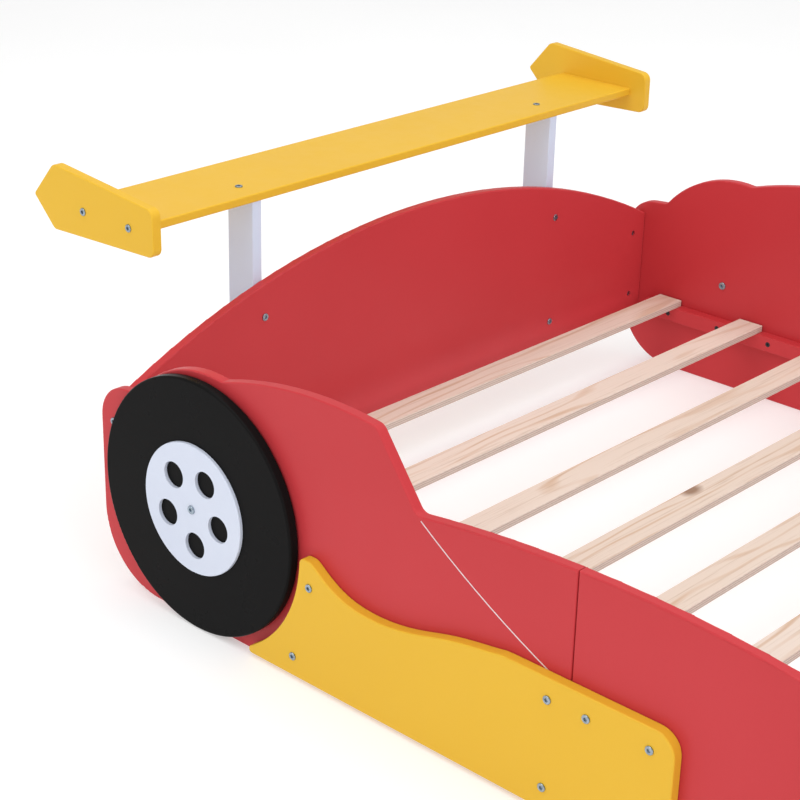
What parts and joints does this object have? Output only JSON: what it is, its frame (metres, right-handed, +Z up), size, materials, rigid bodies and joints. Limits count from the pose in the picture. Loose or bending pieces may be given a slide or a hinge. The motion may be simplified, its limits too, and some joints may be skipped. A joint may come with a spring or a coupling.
{
  "type": "toddler bed",
  "caption": "Race-car shaped child's bed with low board sides, rear spoiler, turning disc wheels and a slatted base for a single mattress.",
  "frame": {"origin": "on the floor under the middle of the overall length and width, spoiler included", "axes": "+X forward from spoiler to nose, +Y to the car's left, +Z up"},
  "size_m": [2.14, 1.0546, 0.4605],
  "materials": {
    "red_board": "satin red paint on medium density board",
    "yellow_board": "satin yellow paint on medium density board",
    "white_board": "satin white paint on medium density board",
    "plywood": "sanded pale plywood, clear matt",
    "black_disc": "satin black paint on medium density board",
    "white_hub": "white, soft gloss",
    "nylon": "natural nylon",
    "black_steel": "black phosphate",
    "zinc_steel": "zinc plated"
  },
  "bodies": {
    "bed": {"corner_barrel_nuts": "zinc_steel", "corner_bolts": "zinc_steel", "front_panel": "red_board", "rear_panel": "red_board", "rocker_bolts": "zinc_steel", "rocker_plate_left": "yellow_board", "rocker_plate_right": "yellow_board", "rocker_threaded_inserts": "zinc_steel", "side_panel_front_left": "red_board", "side_panel_front_right": "red_board", "side_panel_rear_left": "red_board", "side_panel_rear_right": "red_board", "slat_01": "plywood", "slat_02": "plywood", "slat_03": "plywood", "slat_04": "plywood", "slat_05": "plywood", "slat_06": "plywood", "slat_07": "plywood", "slat_08": "plywood", "slat_09": "plywood", "slat_10": "plywood", "slat_11": "plywood", "slat_12": "plywood", "slat_13": "plywood", "slat_14": "plywood", "slat_cleat_front_left": "red_board", "slat_cleat_front_right": "red_board", "slat_cleat_rear_left": "red_board", "slat_cleat_rear_right": "red_board", "slat_cleat_screws": "black_steel", "slat_screws": "black_steel", "spoiler_barrel_nuts": "zinc_steel", "spoiler_end_plate_left": "yellow_board", "spoiler_end_plate_right": "yellow_board", "spoiler_end_plate_screws": "zinc_steel", "spoiler_post_bolts": "zinc_steel", "spoiler_post_left": "white_board", "spoiler_post_right": "white_board", "spoiler_wing": "yellow_board", "spoiler_wing_screws": "zinc_steel", "wheel_bolts": "zinc_steel", "wheel_sleeve_nuts": "zinc_steel", "wheel_washers": "nylon"},
    "wheel_rear_right": {"tyre_rear_right": "black_disc", "wheel_hub_rear_right": "white_hub"},
    "wheel_rear_left": {"tyre_rear_left": "black_disc", "wheel_hub_rear_left": "white_hub"},
    "wheel_front_right": {"tyre_front_right": "black_disc", "wheel_hub_front_right": "white_hub"},
    "wheel_front_left": {"tyre_front_left": "black_disc", "wheel_hub_front_left": "white_hub"}
  },
  "joints": [
    {"name": "rear_right_wheel_spin", "type": "hinge", "parent": "bed", "child": "wheel_rear_right", "pos_m": [-0.73048, -0.5152, 0.1505], "axis": [0, 1, 0], "continuous": true},
    {"name": "rear_left_wheel_spin", "type": "hinge", "parent": "bed", "child": "wheel_rear_left", "pos_m": [-0.73048, 0.5152, 0.1505], "axis": [0, 1, 0], "continuous": true},
    {"name": "front_right_wheel_spin", "type": "hinge", "parent": "bed", "child": "wheel_front_right", "pos_m": [0.72502, -0.5152, 0.1505], "axis": [0, 1, 0], "continuous": true},
    {"name": "front_left_wheel_spin", "type": "hinge", "parent": "bed", "child": "wheel_front_left", "pos_m": [0.72502, 0.5152, 0.1505], "axis": [0, 1, 0], "continuous": true}
  ]
}
